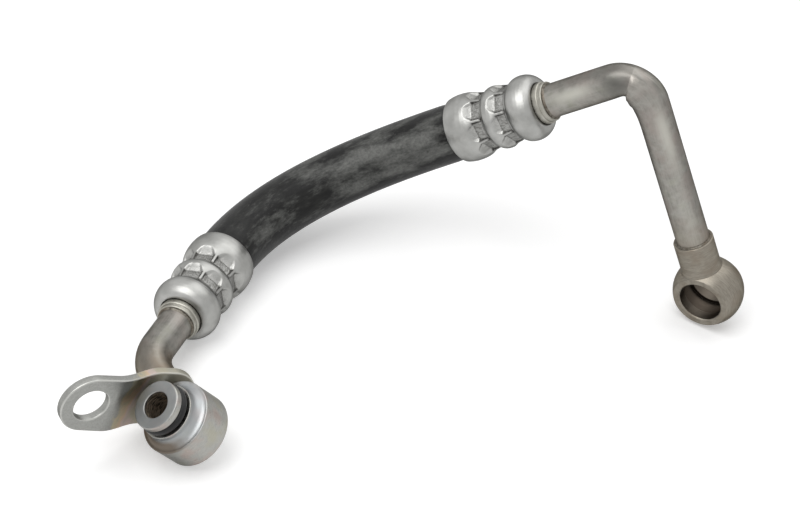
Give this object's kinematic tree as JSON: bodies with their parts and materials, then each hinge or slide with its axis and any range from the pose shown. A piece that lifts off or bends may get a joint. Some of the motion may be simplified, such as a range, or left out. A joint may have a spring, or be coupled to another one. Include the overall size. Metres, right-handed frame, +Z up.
{
  "type": "turbocharger oil feed line",
  "caption": "Oil feed line for a turbocharger: a short crimped rubber hose between two bent steel pipes, with a banjo eye at one end and a bracketed O-ring fitting at the other.",
  "frame": {"origin": "centre of the part's footprint on the surface it lies on, z = 0 on that surface", "axes": "+Z up from the surface it lies on, +X from the bracket end towards the banjo eye"},
  "size_m": [0.1452, 0.1076, 0.0644],
  "materials": {
    "turned_steel": "turned and plated",
    "zinc_plate": "plated, with brazing heat tint",
    "pipe_steel": "dull drawn pipe",
    "ferrule_alloy": "satin plated",
    "nipple_steel": "turned",
    "banjo_steel": "turned, dull",
    "hose_rubber": "matt with dusty marks",
    "seal_rubber": "smooth"
  },
  "bodies": {
    "root": {"end_fitting": "turned_steel", "o_ring": "seal_rubber", "fixing_bracket": "zinc_plate", "inlet_pipe": "pipe_steel", "inlet_nipple": "nipple_steel", "inlet_ferrule": "ferrule_alloy", "rubber_hose": "hose_rubber", "outlet_ferrule": "ferrule_alloy", "outlet_nipple": "nipple_steel", "outlet_pipe": "pipe_steel", "banjo_fitting": "banjo_steel"}
  },
  "joints": []
}
